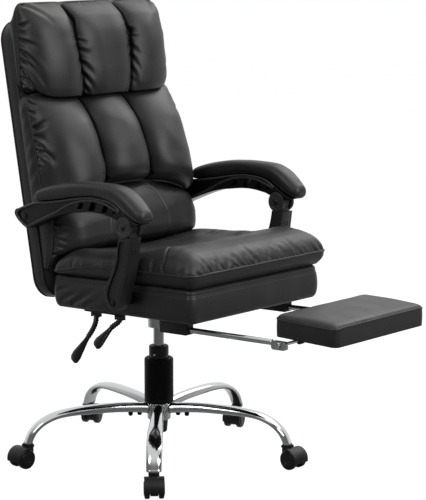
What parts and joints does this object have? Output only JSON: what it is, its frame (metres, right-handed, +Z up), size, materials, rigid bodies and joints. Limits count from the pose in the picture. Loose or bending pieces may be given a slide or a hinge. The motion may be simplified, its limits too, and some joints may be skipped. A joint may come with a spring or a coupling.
{
  "type": "reclining office chair",
  "caption": "High-backed office chair with padded linked arms, a reclining back, a gas-lift star base on casters and a footrest that slides out from under the seat and flips over.",
  "frame": {"origin": "on the floor, in the middle of the space that the chair takes up", "axes": "+Z up, the chair faces -Y, +X towards the sitter's left"},
  "size_m": [0.7067, 1.0955, 1.1588],
  "materials": {
    "leather": "black satin imitation leather",
    "plastic": "black, moulded, matte",
    "gloss_plastic": "black, moulded, glossy",
    "black_steel": "black enamel",
    "chrome": "bright chrome plating",
    "zinc_steel": "bright zinc plating",
    "plywood": "bare plywood"
  },
  "bodies": {
    "base": {"base_hub": "chrome", "base_leg_1": "chrome", "base_leg_2": "chrome", "base_leg_3": "chrome", "base_leg_4": "chrome", "base_leg_5": "chrome", "gas_lift_tube": "black_steel", "gas_lift_collar": "plastic", "gas_lift_screw": "zinc_steel", "column_cover": "plastic"},
    "caster_1_fork": {"caster_1_housing": "plastic"},
    "caster_1_roller": {"caster_1_wheels": "gloss_plastic"},
    "caster_2_fork": {"caster_2_housing": "plastic"},
    "caster_2_roller": {"caster_2_wheels": "gloss_plastic"},
    "caster_3_fork": {"caster_3_housing": "plastic"},
    "caster_3_roller": {"caster_3_wheels": "gloss_plastic"},
    "caster_4_fork": {"caster_4_housing": "plastic"},
    "caster_4_roller": {"caster_4_wheels": "gloss_plastic"},
    "caster_5_fork": {"caster_5_housing": "plastic"},
    "caster_5_roller": {"caster_5_wheels": "gloss_plastic"},
    "lift": {"gas_lift_piston": "chrome"},
    "seat": {"mechanism_housing": "zinc_steel", "mechanism_plate": "zinc_steel", "seat_base": "leather", "seat_cushion": "leather", "footrest_guide_right": "plastic", "footrest_guide_left": "plastic", "arm_stud_bracket_right": "black_steel", "arm_stud_bracket_left": "black_steel", "back_hinge_seat_side": "black_steel", "lever_mount": "black_steel"},
    "height_lever": {"height_lever_sleeve": "plastic", "height_lever_paddle": "gloss_plastic"},
    "recline_lever": {"recline_lever_sleeve": "plastic", "recline_lever_paddle": "gloss_plastic"},
    "back": {"back_hinge_back_side": "black_steel", "back_shell": "leather", "lumbar_panel": "leather", "back_cushion": "leather", "headrest_pillow": "leather", "arm_rear_bolt_right": "black_steel", "arm_rear_bolt_left": "black_steel"},
    "upright_right": {"arm_upright_right": "plastic", "arm_pivot_bolt_right": "black_steel"},
    "arm_right": {"arm_frame_right": "plastic", "arm_pad_right": "leather"},
    "upright_left": {"arm_upright_left": "plastic", "arm_pivot_bolt_left": "black_steel"},
    "arm_left": {"arm_frame_left": "plastic", "arm_pad_left": "leather"},
    "footrest_slider": {"footrest_rail_right": "chrome", "footrest_rail_left": "chrome", "rail_bracket_right": "zinc_steel", "rail_bracket_left": "zinc_steel", "footrest_cross_rod": "chrome"},
    "footrest": {"footrest_hinge_bracket": "black_steel", "footrest_board": "plywood", "footrest_pad": "leather"}
  },
  "joints": [
    {"name": "caster_1_swivel", "type": "hinge", "parent": "base", "child": "caster_1_fork", "pos_m": [-0.25436, -0.06262, 0.06], "axis": [0, 0, 1], "continuous": true},
    {"name": "caster_1_spin", "type": "hinge", "parent": "caster_1_fork", "child": "caster_1_roller", "pos_m": [-0.268, -0.07724, 0.025], "axis": [0.7314, -0.682, 0], "continuous": true},
    {"name": "caster_2_swivel", "type": "hinge", "parent": "base", "child": "caster_2_fork", "pos_m": [0.14307, -0.14347, 0.06], "axis": [0, 0, 1], "continuous": true},
    {"name": "caster_2_spin", "type": "hinge", "parent": "caster_2_fork", "child": "caster_2_roller", "pos_m": [0.14237, -0.16346, 0.025], "axis": [0.9994, -0.0349, 0], "continuous": true},
    {"name": "caster_3_swivel", "type": "hinge", "parent": "base", "child": "caster_3_fork", "pos_m": [0.34278, 0.20952, 0.06], "axis": [0, 0, 1], "continuous": true},
    {"name": "caster_3_spin", "type": "hinge", "parent": "caster_3_fork", "child": "caster_3_roller", "pos_m": [0.32424, 0.20203, 0.025], "axis": [0.3746, -0.9272, 0], "continuous": true},
    {"name": "caster_4_swivel", "type": "hinge", "parent": "base", "child": "caster_4_fork", "pos_m": [0.06878, 0.50854, 0.06], "axis": [0, 0, 1], "continuous": true},
    {"name": "caster_4_spin", "type": "hinge", "parent": "caster_4_fork", "child": "caster_4_roller", "pos_m": [0.08691, 0.51699, 0.025], "axis": [-0.4226, 0.9063, 0], "continuous": true},
    {"name": "caster_5_swivel", "type": "hinge", "parent": "base", "child": "caster_5_fork", "pos_m": [-0.30027, 0.34035, 0.06], "axis": [0, 0, 1], "continuous": true},
    {"name": "caster_5_spin", "type": "hinge", "parent": "caster_5_fork", "child": "caster_5_roller", "pos_m": [-0.32026, 0.34105, 0.025], "axis": [-0.0349, -0.9994, 0], "continuous": true},
    {"name": "seat_lift", "type": "slide", "parent": "base", "child": "lift", "axis": [0, 0, 1], "range_m": [-0.045, 0.04]},
    {"name": "seat_swivel", "type": "hinge", "parent": "lift", "child": "seat", "pos_m": [0, 0.17046, 0.383], "axis": [0, 0, 1], "continuous": true},
    {"name": "height_lever_lift", "type": "hinge", "parent": "seat", "child": "height_lever", "pos_m": [-0.205, 0.18444, 0.40201], "axis": [0, 0.9988, -0.0485], "range_deg": [0, 12], "stiffness_Nm_per_rad": 1.5},
    {"name": "recline_lever_lift", "type": "hinge", "parent": "seat", "child": "recline_lever", "pos_m": [-0.205, 0.10034, 0.40609], "axis": [0, 0.9988, -0.0485], "range_deg": [0, 12], "stiffness_Nm_per_rad": 1.5},
    {"name": "back_recline", "type": "hinge", "parent": "seat", "child": "back", "pos_m": [0, 0.36046, 0.398], "axis": [-1, 0, 0], "range_deg": [0, 35]},
    {"name": "upright_tilt_right", "type": "hinge", "parent": "seat", "child": "upright_right", "pos_m": [-0.274, 0.03546, 0.464], "axis": [-1, 0, 0], "range_deg": [0, 44.6]},
    {"name": "arm_pivot_right", "type": "hinge", "parent": "upright_right", "child": "arm_right", "pos_m": [-0.274, -0.00354, 0.65], "axis": [-1, 0, 0], "range_deg": [-42.8, 0]},
    {"name": "upright_tilt_left", "type": "hinge", "parent": "seat", "child": "upright_left", "pos_m": [0.274, 0.03546, 0.464], "axis": [-1, 0, 0], "range_deg": [0, 44.6]},
    {"name": "arm_pivot_left", "type": "hinge", "parent": "upright_left", "child": "arm_left", "pos_m": [0.274, -0.00354, 0.65], "axis": [-1, 0, 0], "range_deg": [-42.8, 0]},
    {"name": "footrest_slide", "type": "slide", "parent": "seat", "child": "footrest_slider", "axis": [0, 0.9988, -0.0485], "range_m": [0, 0.18]},
    {"name": "footrest_flip", "type": "hinge", "parent": "footrest_slider", "child": "footrest", "pos_m": [0, -0.3933, 0.41104], "axis": [-1, 0, 0], "range_deg": [0, 180]}
  ],
  "couplings": [
    {"joint": "upright_tilt_right", "follows": "back_recline", "ratio": 1.2711},
    {"joint": "arm_pivot_right", "follows": "back_recline", "ratio": -1.2183},
    {"joint": "upright_tilt_left", "follows": "back_recline", "ratio": 1.2711},
    {"joint": "arm_pivot_left", "follows": "back_recline", "ratio": -1.2183}
  ]
}
